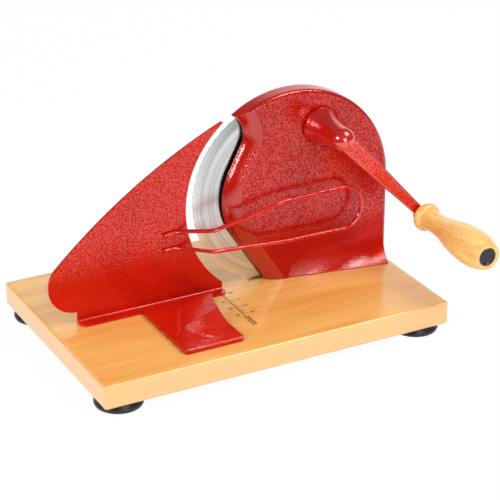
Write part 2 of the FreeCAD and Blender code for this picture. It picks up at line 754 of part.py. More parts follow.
def make_bell():
    """The crank's hollow bell: a wide mouth over the housing's sleeve, a waisted flank and a
    domed end."""
    mouth = crank_x + bell_radius
    neck = crank_x + bell_neck_radius
    lip_y = bell_mouth_y - bell_lip
    dome_foot_y = arm_back_y - cut_over
    dome_top_y = arm_front_y - dome_height
    dome_rise = dome_foot_y - dome_top_y
    dome_radius = (bell_neck_radius ** 2 + dome_rise ** 2) / (2.0 * dome_rise)
    half = math.acos((dome_radius - dome_rise) / dome_radius) / 2.0
    flank = Part.BSplineCurve()
    flank.interpolate([Vector(mouth, lip_y, crank_z),
                       Vector(mouth - bell_shoulder_in, lip_y - bell_shoulder_depth, crank_z),
                       Vector(neck + bell_waist_swell, lip_y - bell_waist_depth, crank_z),
                       Vector(neck, dome_foot_y, crank_z)])
    crown_mid = Vector(crank_x + dome_radius * math.sin(half),
                       dome_top_y + dome_radius * (1.0 - math.cos(half)), crank_z)
    crown = arc(Vector(neck, dome_foot_y, crank_z), crown_mid, Vector(crank_x, dome_top_y, crank_z))
    outline = Part.Wire([line(Vector(crank_x, bell_mouth_y, crank_z), Vector(mouth, bell_mouth_y, crank_z)),
                         line(Vector(mouth, bell_mouth_y, crank_z), Vector(mouth, lip_y, crank_z)),
                         flank.toShape(), crown,
                         line(Vector(crank_x, dome_top_y, crank_z), Vector(crank_x, bell_mouth_y, crank_z))])
    bell = Part.Face(outline).revolve(Vector(crank_x, 0, crank_z), Vector(0, 1, 0), 360)
    mouth_inner = bell_radius - bell_wall
    end_inner = sleeve_radius + 2.0 * wide_gap
    hollow = turned_y([(0.0, bell_mouth_y + cut_over), (mouth_inner, bell_mouth_y + cut_over),
                       (mouth_inner, lip_y), (end_inner, (lip_y + bell_end_y) / 2.0), (end_inner, bell_end_y),
                       (0.0, bell_end_y)], crank_x, crank_z)
    return bell.cut(hollow)


def make_crank_arm():
    """Cast crank: the bell, and a flat tapered arm with bevelled front edges that ends in a boss
    for the grip's spindle."""
    half_hub = arm_width_hub / 2.0
    half_end = arm_width_end / 2.0
    start = bell_neck_radius / 2.0
    end = crank_length - math.sqrt(arm_end_radius ** 2 - half_end ** 2)
    upper = [on_arm(start, half_hub, arm_front_y), on_arm(end, half_end, arm_front_y)]
    lower = [on_arm(end, -half_end, arm_front_y), on_arm(start, -half_hub, arm_front_y)]
    boss_end = on_arm(crank_length + arm_end_radius, 0.0, arm_front_y)
    outline = Part.Wire([line(*upper), arc(upper[1], boss_end, lower[0]), line(*lower),
                         line(lower[1], upper[0])])
    bar = Part.Face(outline).extrude(Vector(0, arm_thickness, 0))
    shaft_end = on_arm(0.0, 0.0, arm_front_y)
    bar = bar.makeChamfer(arm_bevel, edges_where(bar, lambda c: close(c.y, arm_front_y)
                                                 and (c - shaft_end).Length > half_hub))
    shaft_hole = rod_y(shaft_radius + seat_gap, shaft_front_y - seat_gap, bell_mouth_y, crank_x, crank_z)
    spindle_hole = rod_y(spindle_radius + seat_gap, arm_front_y - cut_over, arm_back_y + cut_over,
                         grip_x, grip_z)
    return make_bell().fuse(bar).cut([shaft_hole, spindle_hole]).removeSplitter()


def make_crank_shaft():
    """Steel shaft from the crank through the housing, with a square end for the pinion."""
    half = shaft_square / 2.0
    shaft = rod_y(shaft_radius, shaft_front_y, shaft_shoulder_y, crank_x, crank_z)
    square = block(crank_x - half, crank_x + half, shaft_shoulder_y, square_end_y,
                   crank_z - half, crank_z + half)
    thread = rod_y(pinion_screw_radius + seat_gap, pinion_seat_y - pinion_screw_grip - seat_gap,
                   blade_plane_y, crank_x, crank_z)
    return shaft.fuse(square).cut(thread)


def make_pinion():
    """Steel pinion on the shaft's square, with a recess for its screw."""
    outline = gear_outline(pinion_teeth, crank_x, crank_z, shaft_shoulder_y, crank_direction + 180.0)
    pinion = Part.Face(outline).extrude(Vector(0, pinion_back_y - shaft_shoulder_y, 0))
    half = shaft_square / 2.0 + seat_gap
    square = block(crank_x - half, crank_x + half, shaft_shoulder_y - cut_over, pinion_back_y + cut_over,
                   crank_z - half, crank_z + half)
    recess = rod_y(pinion_recess_radius, pinion_seat_y, pinion_back_y + cut_over, crank_x, crank_z)
    return pinion.cut([square, recess])


def make_pinion_screw():
    """Screw in the shaft's end; its wide flat head keeps the pinion on the square."""
    top = pinion_seat_y + pinion_screw_head_height
    head = rod_y(pinion_screw_head_radius, pinion_seat_y, top, crank_x, crank_z)
    slot = block(crank_x - 2.0 * pinion_screw_head_radius, crank_x + 2.0 * pinion_screw_head_radius,
                 top - pinion_screw_head_height / 2.0, top + cut_over, crank_z - wide_gap, crank_z + wide_gap)
    shank = rod_y(pinion_screw_radius, pinion_seat_y - pinion_screw_grip, pinion_seat_y, crank_x, crank_z)
    return head.cut(slot).fuse(shank)


# ---- grip ----
def on_grip(radius, along):
    """A point of the grip's profile: its radius and how far it lies from the arm's side."""
    return Vector(grip_x + radius, grip_start_y - along, grip_z)


def grip_skin():
    """Profile of the grip: the bead, the long hollow round the neck, the belly's swell tangent to
    it, and the belly's round end."""
    run = grip_belly_at - grip_neck_at
    swell = grip_belly_radius - grip_neck_radius
    both_radii = (run ** 2 + swell ** 2) / (2.0 * swell)
    belly_arc_radius = both_radii - grip_hollow_radius
    end_run = grip_length - grip_belly_at
    end_drop = grip_belly_radius - grip_end_radius
    end_arc_radius = (end_run ** 2 + end_drop ** 2) / (2.0 * end_drop)

    def hollow(along):
        across = along - grip_neck_at
        drop = grip_hollow_radius - math.sqrt(grip_hollow_radius ** 2 - across ** 2)
        return on_grip(grip_neck_radius + drop, along)

    def belly(along, radius):
        across = along - grip_belly_at
        return on_grip(grip_belly_radius - radius + math.sqrt(radius ** 2 - across ** 2), along)

    joint_at = grip_neck_at + run * grip_hollow_radius / both_radii
    joint = hollow(joint_at)
    bead_end = hollow(grip_bead_length)
    fullest = on_grip(grip_belly_radius, grip_belly_at)
    return [arc(on_grip(grip_face_radius, 0.0), on_grip(grip_bead_radius, grip_bead_length / 2.0), bead_end),
            arc(bead_end, on_grip(grip_neck_radius, grip_neck_at), joint),
            arc(joint, belly((joint_at + grip_belly_at) / 2.0, belly_arc_radius), fullest),
            arc(fullest, belly(grip_belly_at + end_run / 2.0, end_arc_radius),
                on_grip(grip_end_radius, grip_length))]


def make_grip():
    """Turned wooden grip: a round bead at the arm, a slim neck and a full belly, bored for its
    spindle and counterbored for the spindle's head and the cap."""
    bore = spindle_radius + running_gap
    head_bore = spindle_head_radius + wide_gap
    cap_bore = grip_cap_radius + seat_gap
    corners = [on_grip(grip_end_radius, grip_length), on_grip(cap_bore, grip_length),
               on_grip(cap_bore, grip_length - grip_cap_thickness),
               on_grip(head_bore, grip_length - grip_cap_thickness),
               on_grip(head_bore, grip_length - spindle_head_depth),
               on_grip(bore, grip_length - spindle_head_depth), on_grip(bore, 0.0),
               on_grip(grip_face_radius, 0.0)]
    outline = Part.Wire(grip_skin() + [line(a, b) for a, b in zip(corners, corners[1:])])
    return Part.Face(outline).revolve(Vector(grip_x, 0, grip_z), Vector(0, 1, 0), 360)


def make_grip_cap():
    """Round plug with a raised rim that closes the grip's end."""
    back = grip_end_y + grip_cap_thickness - seat_gap
    front = grip_end_y - grip_cap_proud
    inner = grip_cap_radius - grip_cap_rim
    return turned_y([(0.0, back), (grip_cap_radius, back), (grip_cap_radius, grip_end_y),
                     (grip_cap_radius - grip_cap_proud, front), (inner, front),
                     (inner - grip_cap_proud, grip_end_y), (0.0, grip_end_y)], grip_x, grip_z)


def make_grip_spindle():
    """Shouldered bolt screwed into the arm; the grip turns on it."""
    low = spindle_shoulder_y - spindle_head_height
    head = rod_y(spindle_head_radius, low, spindle_shoulder_y, grip_x, grip_z)
    slot = block(grip_x - 2.0 * spindle_head_radius, grip_x + 2.0 * spindle_head_radius,
                 low - cut_over, low + spindle_head_height / 3.0, grip_z - wide_gap, grip_z + wide_gap)
    return head.cut(slot).fuse(rod_y(spindle_radius, spindle_shoulder_y, arm_back_y, grip_x, grip_z))


def make_grip_washer():
    """Plain washer between the arm and the grip."""
    ring = rod_y(grip_washer_radius, arm_front_y - washer_thickness, arm_front_y, grip_x, grip_z)
    return ring.cut(rod_y(spindle_radius + seat_gap, arm_front_y - washer_thickness - cut_over,
                          arm_front_y + cut_over, grip_x, grip_z))


# ---- stop plate, slide and guard ----
def slide_screw_places():
    return [(cover_left_x + slide_screw_inset, cover_back_y - 2.0 * slide_screw_inset),
            (cover_right_x - slide_screw_inset, cover_front_y + 2.0 * slide_screw_inset)]


def tongue_prism(y_back, z_from, z_to):
    """Plan shape of the tongue and of its cover: straight sides, and a root that flares to the
    right in a long arc."""
    flare_y = stop_front_y - root_flare_length
    run = y_back - flare_y

    def flared(along):
        return cover_right_x + root_flare_radius - math.sqrt(root_flare_radius ** 2 - along ** 2)

    corners = [Vector(cover_left_x, y_back, z_from), Vector(cover_left_x, cover_front_y, z_from),
               Vector(cover_right_x, cover_front_y, z_from), Vector(cover_right_x, flare_y, z_from)]
    root = Vector(flared(run), y_back, z_from)
    edges = [line(a, b) for a, b in zip(corners, corners[1:])]
    edges.append(arc(corners[-1], Vector(flared(run / 2.0), flare_y + run / 2.0, z_from), root))
    edges.append(line(root, corners[0]))
    prism = Part.Face(Part.Wire(edges)).extrude(Vector(0, 0, z_to - z_from))
    middle_z = (z_from + z_to) / 2.0
    front_corners = edges_where(prism, lambda c: close(c.y, cover_front_y) and close(c.z, middle_z)
                                and not close(c.x, guide_x))
    return prism.makeFillet(cover_corner_round, front_corners)


def countersink(x, y, gap):
    """Cone of a countersunk screw head in the tongue's underside, larger all round by a gap."""
    drop = slide_screw_head_radius - slide_screw_radius
    low = sheet_bottom + seat_gap - gap
    return turned_z([(0.0, low), (slide_screw_head_radius + gap, low), (slide_screw_radius + gap, low + drop),
                     (0.0, low + drop)], x, y)


def stop_outline():
    """Outline of the upright plate: a round low corner, a long bulging edge up to the tip, and a
    hollow edge that keeps an even distance from the blade."""
    front = stop_front_y
    corner_low = Vector(stop_corner_x, front, stop_corner_z - stop_corner_radius)
    corner_mid = polar(stop_corner_x, stop_corner_z, stop_corner_radius,
                       (270.0 + stop_corner_turn) / 2.0, front)
    corner_top = polar(stop_corner_x, stop_corner_z, stop_corner_radius, stop_corner_turn, front)
    tip_z = blade_z + stop_tip_above
    tip_x = blade_x - math.sqrt(stop_arc_radius ** 2 - (stop_tip_above - stop_tip_round) ** 2)
    tip_low = Vector(tip_x, front, tip_z - stop_tip_round)
    eased = stop_tip_round * (1.0 - math.sqrt(0.5))
    tip_mid = Vector(tip_x - eased, front, tip_z - eased)
    tip_high = Vector(tip_x - stop_tip_round, front, tip_z)
    chord = tip_high - corner_top
    outward = Vector(-chord.z, 0, chord.x).normalize()
    edge_mid = corner_top + chord * 0.5 + outward * stop_edge_bulge
    hollow_mid = polar(blade_x, blade_z, stop_arc_radius, 180.0, front)
    heel = Vector(stop_heel_x, front, stop_heel_height)
    foot_right = Vector(stop_heel_x, front, sheet_bottom)
    foot_left = Vector(stop_corner_x, front, sheet_bottom)
    return Part.Wire([line(foot_left, corner_low), arc(corner_low, corner_mid, corner_top),
                      arc(corner_top, edge_mid, tip_high), arc(tip_high, tip_mid, tip_low),
                      arc(tip_low, hollow_mid, heel), line(heel, foot_right), line(foot_right, foot_left)])


def make_stop_plate():
    """Sheet-steel stop: the upright plate, a flange bent towards the user at its foot, and a
    tongue that carries the slide."""
    plate = Part.Face(stop_outline()).extrude(Vector(0, stop_thickness, 0))
    plate = plate.makeFillet(stop_heel_round, edges_where(plate, lambda c: close(c.x, stop_heel_x)
                                                          and close(c.z, stop_heel_height)))
    flange = block(stop_corner_x, stop_heel_x, flange_front_y, stop_back_y, sheet_bottom, sheet_top)
    middle_z = (sheet_bottom + sheet_top) / 2.0
    flange_ends = edges_where(flange, lambda c: close(c.y, flange_front_y) and close(c.z, middle_z))
    flange = flange.makeFillet(flange_end_round, flange_ends)
    tongue = tongue_prism(stop_front_y - cut_over, sheet_bottom, sheet_top)
    sheet = plate.fuse([flange, tongue]).removeSplitter()
    inner_bend = edges_where(sheet, lambda c: close(c.y, stop_front_y) and close(c.z, sheet_top))
    sheet = sheet.makeFillet(bend_radius, inner_bend)
    outer_bend = edges_where(sheet, lambda c: close(c.y, stop_back_y) and close(c.z, sheet_bottom))
    sheet = sheet.makeFillet(bend_radius, outer_bend)
    low = sheet_bottom - cut_over
    holes = [rod_z(guide_bolt_radius + seat_gap, low, sheet_top + cut_over, guide_x, y) for y in guide_ys]
    for x, y in slide_screw_places():
        holes.append(rod_z(slide_screw_radius + seat_gap, low, sheet_top + cut_over, x, y))
        holes.append(countersink(x, y, seat_gap))
    return sheet.cut(holes)


def rest_section(spread):
    """Level section of the thumb rest: its top's outline at a spread of 0, its foot's at 1. The
    foot stands out further on the left and the front than along the cover's flared root. Each
    point is given from the cover's front right corner, with how far the foot stands out there."""
    right = cover_right_x - cover_edge_round / 2.0
    level = cover_top - cover_edge_round + (thumb_rise + cover_edge_round) * (1.0 - math.sqrt(spread))

    def at(x, y, out_x, out_y):
        return Vector(right + x + out_x * spread, cover_front_y + y + out_y * spread, level)

    rear_left = at(-25.0, 73.0, -10.0, 5.5)
    left = at(-thumb_ridge_length, thumb_ridge_from_front, -12.0, -1.0)
    front_left = at(-38.0, 18.3, -7.0, -7.4)
    front_right = at(-0.8, 22.0, 0.4, -4.5)
    root_low = at(-0.4, 42.0, 0.4, 0.0)
    root_high = at(7.2, 81.0, 1.0, 1.5)
    rear_right = at(4.5, 86.4, -0.5, 7.0)
    return Part.Wire([line(rear_left, left), arc(left, at(-44.0, 23.0, -10.6, -5.2), front_left),
                      arc(front_left, at(-22.0, 15.5, -1.0, -8.4), front_right), line(front_right, root_low),
                      arc(root_low, at(1.6, 60.0, 0.4, 0.0), root_high), line(root_high, rear_right),
                      line(rear_right, rear_left)])


def thumb_rest():
    """Raised thumb rest: hollow sides and a flat top that follows the flared root, then a shallow
    step down to a twisted ramp that fades out to the right."""
    rest = Part.makeLoft([rest_section(1.0), rest_section(0.25), rest_section(0.0)], True, False)
    top_z = cover_top + thumb_rise
    right = cover_right_x - cover_edge_round / 2.0
    left = right - thumb_ridge_length
    ridge_y = cover_front_y + thumb_ridge_from_front
    ramp_y = cover_front_y - thumb_ramp_from_front
    ridge_left = Vector(left, ridge_y, top_z)
    ridge_right = Vector(right, ridge_y + thumb_ridge_slant, top_z - thumb_step)
    beyond = (ridge_right - ridge_left) * 0.25
    ramp_left = Vector(left, ramp_y, top_z - 2.0 * thumb_step)
    ramp_right = Vector(right, ramp_y + thumb_ramp_slant, ridge_right.z - thumb_ramp_fall)
    ramp = Part.makeRuledSurface(line(ridge_left - beyond, ridge_right + beyond),
                                 line(ramp_left - beyond, ramp_right + beyond))
    return rest.cut(ramp.extrude(Vector(0, 0, 2.0 * thumb_ramp_fall)))


def make_slide_cover():
    """Cast cover on the tongue, with the thumb rest and pockets for the guide bolts' heads."""
    cover = tongue_prism(cover_back_y, sheet_top, cover_top)
    cover = cover.makeFillet(cover_edge_round, edges_where(cover, lambda c: close(c.z, cover_top)))
    cover = cover.fuse(thumb_rest()).removeSplitter()
    holes = []
    for y in guide_ys:
        holes.append(rod_z(guide_head_radius + seat_gap, sheet_top - cut_over,
                           sheet_top + guide_head_height + seat_gap, guide_x, y))
    for x, y in slide_screw_places():
        holes.append(rod_z(slide_screw_radius + seat_gap, sheet_top - cut_over,
                           sheet_top + slide_screw_grip + seat_gap, x, y))
    return cover.cut(holes)


def make_slide_screws():
    """Countersunk screws from under the tongue into its cover."""
    screws = []
    for x, y in slide_screw_places():
        shank = rod_z(slide_screw_radius, sheet_bottom + 2.0 * seat_gap, sheet_top + slide_screw_grip, x, y)
        screws.append(countersink(x, y, 0.0).fuse(shank))
    return screws


def rounded_corner(before, corner, after, radius):
    """Start, middle and end of the tangent arc that rounds one corner of a path."""
    back = (before - corner).normalize()
    ahead = (after - corner).normalize()
    half = back.getAngle(ahead) / 2.0
    reach = radius / math.tan(half)
    inward = (back + ahead).normalize()
    return corner + back * reach, corner + inward * (radius / math.sin(half) - radius), corner + ahead * reach


def rounded_path(points, radii):
    """Straight runs through the points, joined by tangent arcs."""
    edges = []
    at = points[0]
    for before, corner, after, radius in zip(points, points[1:], points[2:], radii):
        start, middle, end = rounded_corner(before, corner, after, radius)
        edges += [line(at, start), arc(start, middle, end)]
        at = end
    return edges + [line(at, points[-1])]


def make_wire_guard():
    """Wire hairpin on the stop plate: two legs that step forward clear of the housing, run along
    it and close in a round bow."""
    seat_y = stop_front_y - wire_radius - seat_gap
    out_y = housing_front_y - guard_clearance - wire_radius
    seat_end_x = stop_hollow_x - guard_seat_inset
    start_x = seat_end_x - guard_seat_length
    out_x = seat_end_x + guard_step_length
    bow_x = blade_x + guard_reach
    top_z = blade_z + guard_above
    low_z = blade_z - guard_below
    upper_z = blade_z - guard_seat_upper
    lower_z = blade_z - guard_seat_lower
    turn_x = blade_x - guard_bow_at
    upper = [Vector(start_x, seat_y, upper_z - guard_upper_rise), Vector(seat_end_x, seat_y, upper_z),
             Vector(out_x, out_y, upper_z + guard_upper_rise), Vector(turn_x, out_y, top_z - guard_leg_bow),
             Vector(bow_x, out_y, top_z)]
    lower = [Vector(bow_x, out_y, low_z), Vector(turn_x, out_y, low_z + guard_leg_bow),
             Vector(out_x, out_y, lower_z - guard_lower_drop), Vector(seat_end_x, seat_y, lower_z),
             Vector(start_x, seat_y, lower_z)]
    edges = rounded_path(upper, [guard_bend, guard_bend, guard_arch])
    bow_end = Vector(bow_x + (top_z - low_z) / 2.0, out_y, (top_z + low_z) / 2.0)
    edges.append(arc(upper[-1], bow_end, lower[0]))
    edges += rounded_path(lower, [guard_arch, guard_bend, guard_bend])
    section = Part.Wire(Part.Circle(upper[0], (upper[1] - upper[0]).normalize(), wire_radius).toShape())
    return Part.Wire(edges).makePipeShell([section], True, True)


# ---- guide under the board ----
def guide_rings(outer, low, high):
    """One ring round each guide bolt."""
    bore = guide_bolt_radius + seat_gap
    return [rod_z(outer, low, high, guide_x, y).cut(rod_z(bore, low - cut_over, high + cut_over, guide_x, y))
            for y in guide_ys]


def make_guide_bolts():
    """Bolts whose flat heads lie on the tongue, inside the cover."""
    bolts = []
    for y in guide_ys:
        head = rod_z(guide_head_radius, sheet_top, sheet_top + guide_head_height, guide_x, y)
        bolts.append(head.fuse(rod_z(guide_bolt_radius, board_bottom + wide_gap, sheet_top, guide_x, y)))
    return bolts


def make_guide_springs():
    """Domed spring washers under the plain ones."""
    high = guide_stack_top - guide_washer_thickness
    hole = guide_bolt_radius + seat_gap
    profile = [(hole, high - guide_spring_rise - guide_spring_thickness),
               (guide_spring_radius, high - guide_spring_thickness), (guide_spring_radius, high),
               (hole, high - guide_spring_rise)]
    return [turned_z(profile, guide_x, y) for y in guide_ys]


def make_guide_nuts():
    """Hexagon lock nuts that load the spring washers."""
    high = guide_stack_top - guide_washer_thickness - guide_spring_rise - guide_spring_thickness
    low = high - guide_nut_height
    nuts = []
    for y in guide_ys:
        corners = [Vector(guide_x + guide_nut_radius * math.cos(math.radians(60.0 * n)),
                          y + guide_nut_radius * math.sin(math.radians(60.0 * n)), low) for n in range(6)]
        body = Part.Face(polygon(corners)).extrude(Vector(0, 0, guide_nut_height))
        bore = rod_z(guide_bolt_radius + seat_gap, low - cut_over, high + cut_over, guide_x, y)
        nuts.append(body.cut(bore))
    return nuts


os.makedirs("parts", exist_ok=True)
save("base_board", make_board())
for place, (foot_x, foot_y) in foot_places().items():
    save("rubber_foot_" + place, make_foot(foot_x, foot_y))
save("foot_screws", *make_foot_screws())
save("gear_housing", make_housing())
save("housing_screws", *make_housing_screws())
save("shaft_bushes", *make_shaft_bushes())
save("blade_axle", make_blade_axle())
save("blade_screw", make_blade_screw())
save("blade", make_blade())
save("blade_gear", make_blade_gear())
save("gear_rivets", *make_gear_rivets())
save("crank_arm", make_crank_arm())
save("crank_shaft", make_crank_shaft())
save("pinion", make_pinion())
save("pinion_screw", make_pinion_screw())
save("grip_spindle", make_grip_spindle())
save("grip_washer", make_grip_washer())
save("wooden_grip", make_grip())
save("grip_cap", make_grip_cap())
save("stop_plate", make_stop_plate())
save("slide_cover", make_slide_cover())
save("slide_screws", *make_slide_screws())
save("wire_guard", make_wire_guard())
save("guide_bolts", *make_guide_bolts())
save("guide_sleeves", *guide_rings(guide_sleeve_radius, guide_stack_top, sheet_bottom))
save("guide_washers", *guide_rings(guide_washer_radius, guide_stack_top - guide_washer_thickness,
                                   guide_stack_top))
save("guide_springs", *make_guide_springs())
save("guide_nuts", *make_guide_nuts())
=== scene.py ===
import math

import bpy
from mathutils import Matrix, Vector


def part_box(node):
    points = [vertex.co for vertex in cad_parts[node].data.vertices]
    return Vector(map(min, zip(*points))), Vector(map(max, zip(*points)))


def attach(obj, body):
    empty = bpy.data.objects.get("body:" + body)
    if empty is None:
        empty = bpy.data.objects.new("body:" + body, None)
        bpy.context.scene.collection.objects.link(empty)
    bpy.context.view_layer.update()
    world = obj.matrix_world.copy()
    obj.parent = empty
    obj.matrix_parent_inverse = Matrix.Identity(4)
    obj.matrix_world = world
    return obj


# A hand-cranked bread slicer, dressed piece by piece in the order in which it is put together.
# Lengths are in metres. X runs along the board to the crank's side, Y away from the user and Z up.
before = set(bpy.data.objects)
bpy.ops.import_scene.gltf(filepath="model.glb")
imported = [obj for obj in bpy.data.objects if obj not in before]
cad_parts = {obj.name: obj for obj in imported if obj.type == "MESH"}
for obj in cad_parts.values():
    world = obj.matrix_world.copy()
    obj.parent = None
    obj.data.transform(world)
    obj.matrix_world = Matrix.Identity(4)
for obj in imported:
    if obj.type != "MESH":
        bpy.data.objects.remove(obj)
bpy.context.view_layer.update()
scene = bpy.context.scene


# ---- wooden board ----
# The board is clear-lacquered pine, planed and rounded over on all its edges. The lacquer makes it
# warm and satin, and soft orange streaks of late wood run along its length.
def linear(colour):
    """Turns an sRGB hex colour into linear RGBA."""
    shares = [int(colour[n:n + 2], 16) / 255 for n in (1, 3, 5)]
    return [s / 12.92 if s <= 0.04045 else ((s + 0.055) / 1.055) ** 2.4 for s in shares] + [1]


def feed(node, links):
    """Sets or links inputs by name or number. A node stands for its first output in use."""
    for name, value in links.items():
        if isinstance(value, bpy.types.Node):
            value = next(output for output in value.outputs if output.enabled)
        if isinstance(value, bpy.types.NodeSocket):
            node.id_data.links.new(value, node.inputs[name])
        else:
            node.inputs[name].default_value = value


def add(tree, kind, links=None, stops=(), **settings):
    """Adds one shader node with its settings and links, and the (place, hex) stops of a colour ramp."""
    node = tree.nodes.new(kind)
    for name, value in settings.items():
        setattr(node, name, value)
    feed(node, links or {})
    for n, (position, colour) in enumerate(stops):
        node.color_ramp.elements[n].position = position
        node.color_ramp.elements[n].color = linear(colour)
    return node


def new_material(name, **sockets):
    """Makes a material with one Principled shader, and sets numbers on that shader's own sockets."""
    material = bpy.data.materials.new(name)
    material.use_nodes = True
    shader = material.node_tree.nodes["Principled BSDF"]
    feed(shader, {socket.replace("_", " "): value for socket, value in sockets.items()})
    return material, material.node_tree, shader


def dress(material, *nodes):
    """Gives CAD nodes a finished material."""
    for name in nodes:
        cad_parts[name].material_slots[0].material = material


streak_length = 0.200
streak_width = 0.020
fibre_length = 0.030
fibre_width = 0.0009  # about 0.04 mm in real pine, drawn coarser so that it shows
pine, tree, shader = new_material("lacquered_pine", Roughness=0.4, IOR=1.5, Coat_Weight=0.9,
                                  Coat_Roughness=0.16)
place = add(tree, "ShaderNodeTexCoord").outputs["Object"]
along = add(tree, "ShaderNodeMapping",
            {"Vector": place, "Scale": (1 / streak_length, 1 / streak_width, 1 / streak_width)})
late_wood = add(tree, "ShaderNodeTexNoise",
                {"Vector": along, "Scale": 1.0, "Detail": 2.5, "Roughness": 0.5, "Distortion": 0.4})
fine = add(tree, "ShaderNodeMapping",
           {"Vector": place, "Scale": (1 / fibre_length, 1 / fibre_width, 1 / fibre_width)})
fibres = add(tree, "ShaderNodeTexNoise", {"Vector": fine, "Scale": 1.0, "Detail": 2.0})
figure = add(tree, "ShaderNodeValToRGB", {"Fac": late_wood}, [(0.32, "#ecb867"), (0.74, "#e09c4a")])
fibre_tone = add(tree, "ShaderNodeValToRGB", {"Fac": fibres}, [(0.35, "#ffffff"), (0.75, "#f4ead8")])
wood_colour = add(tree, "ShaderNodeMix", {"Factor": 1.0, "A": figure, "B": fibre_tone},
                  data_type="RGBA", blend_type="MULTIPLY")
# The streaks show on the flat-sawn top. The narrow sides are plain and paler.
facing = add(tree, "ShaderNodeNewGeometry").outputs["Normal"]
upward = add(tree, "ShaderNodeSeparateXYZ", {"Vector": facing}).outputs["Z"]
flat_cut = add(tree, "ShaderNodeMapRange", {"Value": upward, "From Min": 0.3, "From Max": 0.9})
cut_colour = add(tree, "ShaderNodeMix", {"Factor": flat_cut, "A": linear("#e6b275"), "B": wood_colour},
                 data_type="RGBA")
relief = add(tree, "ShaderNodeBump", {"Height": fibres, "Distance": 0.00004, "Strength": 0.5})
feed(shader, {"Base Color": cut_colour, "Normal": relief})
dress(pine, "base_board")

# ---- printed scale ----
# A thickness scale stamped on the board in thin brown ink beside the slide. It has a line along the
# slide's travel, a tick every 3 mm, plain numerals on both sides, and the unit at its near end.
scale_x = -0.0218
scale_back = 0.0152
scale_length = 0.0523
number_steps = 3
number_step = 0.015
left_figure_step = 5
ticks_per_step = 5
line_width = 0.0008
tick_width = 0.0006
long_tick = 0.0062
short_tick = 0.0034
right_of_line = 0.0100
left_of_line = 0.0056
unit_shift = 0.0008
unit_gap = 0.0085
board_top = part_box("base_board")[1].z
# The ink lies just proud of the wood, spreads a little at each stroke's edge, and is absorbed unevenly
# from pore to pore, so that it is blotched in two browns.
ink_lift = 0.00003
ink_spread = 0.00012
ink_blot = 0.0008
ink, tree, shader = new_material("stamped_ink", Roughness=0.6, IOR=1.5)
place = add(tree, "ShaderNodeTexCoord").outputs["Object"]
absorbed = add(tree, "ShaderNodeTexNoise", {"Vector": place, "Scale": 1 / ink_blot, "Detail": 2.0})
shade = add(tree, "ShaderNodeValToRGB", {"Fac": absorbed}, [(0.35, "#1e1204"), (0.75, "#4a3412")])
feed(shader, {"Base Color": shade})


def stroke(x0, x1, y0, y1):
    """The four corners of one inked stroke, flat on the board."""
    return [(x, y, board_top + ink_lift) for x, y in ((x0, y0), (x1, y0), (x1, y1), (x0, y1))]


half_line = line_width / 2
strokes = [stroke(scale_x - half_line, scale_x + half_line, scale_back - scale_length, scale_back)]
for tick in range(1, number_steps * ticks_per_step + 1):
    tick_y = scale_back - tick * number_step / ticks_per_step
    tick_end = scale_x + (short_tick if tick % ticks_per_step else long_tick)
    strokes.append(stroke(scale_x, tick_end, tick_y - tick_width / 2, tick_y + tick_width / 2))
stamp_mesh = bpy.data.meshes.new("scale_lines")
stamp_mesh.from_pydata([corner for corners in strokes for corner in corners], [],
                       [tuple(range(4 * n, 4 * n + 4)) for n in range(len(strokes))])
stamp_mesh.materials.append(ink)
scale_lines = bpy.data.objects.new("scale_lines", stamp_mesh)
scene.collection.objects.link(scale_lines)
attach(scale_lines, "base")


def stamped(name, words, x, y, height):
    """Stamps plain figures that read from the left of the board, centred on a place."""
    text = bpy.data.curves.new(name, "FONT")
    text.body = words
    text.size = height
    text.align_x = "CENTER"
    text.align_y = "CENTER"
    text.offset = ink_spread
    text.materials.append(ink)
    piece = bpy.data.objects.new(name, text)
    scene.collection.objects.link(piece)
    piece.location = (x, y, board_top + ink_lift)
    piece.rotation_euler = (0, 0, -math.pi / 2)
    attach(piece, "base")


for count in range(number_steps + 1):
    number_y = scale_back - count * number_step
    stamped(f"numeral_right_{count}", str(count), scale_x + right_of_line, number_y, height=0.0062)
    stamped(f"numeral_left_{count}", str(count * left_figure_step), scale_x - left_of_line, number_y,
            height=0.0054)
stamped("unit", "mm", scale_x + unit_shift, scale_back - scale_length - unit_gap, height=0.0125)

# ---- rubber feet and their screws ----
# Four moulded rubber discs under the board's corners, each held by a zinc-plated pan-head screw.
# The rubber is black with a slight sheen from the mould.
mould_grit = 0.0012  # about 0.1 mm in a real mould, drawn coarser so that it shows
rubber, tree, shader = new_material("moulded_rubber", Roughness=0.42, IOR=1.5)
place = add(tree, "ShaderNodeTexCoord").outputs["Object"]
mould_grain = add(tree, "ShaderNodeTexNoise", {"Vector": place, "Scale": 1 / mould_grit, "Detail": 2.0})
shade = add(tree, "ShaderNodeValToRGB", {"Fac": mould_grain}, [(0.3, "#0c0c0c"), (0.8, "#1a1a1a")])
relief = add(tree, "ShaderNodeBump", {"Height": mould_grain, "Distance": 0.00003, "Strength": 0.6})
feed(shader, {"Base Color": shade, "Normal": relief})
dress(rubber, "rubber_foot_front_left", "rubber_foot_front_right", "rubber_foot_back_left",
      "rubber_foot_back_right")

# Zinc plate is a half-bright grey, with a soft cloudy bloom from the bath.
zinc_bloom = 0.003
zinc, tree, shader = new_material("zinc_plated_steel", Metallic=1.0, Roughness=0.34)
place = add(tree, "ShaderNodeTexCoord").outputs["Object"]
bloom = add(tree, "ShaderNodeTexNoise", {"Vector": place, "Scale": 1 / zinc_bloom, "Detail": 3.0})
shade = add(tree, "ShaderNodeValToRGB", {"Fac": bloom}, [(0.3, "#a9abad"), (0.7, "#cfd0d0")])
feed(shader, {"Base Color": shade})
dress(zinc, "foot_screws")


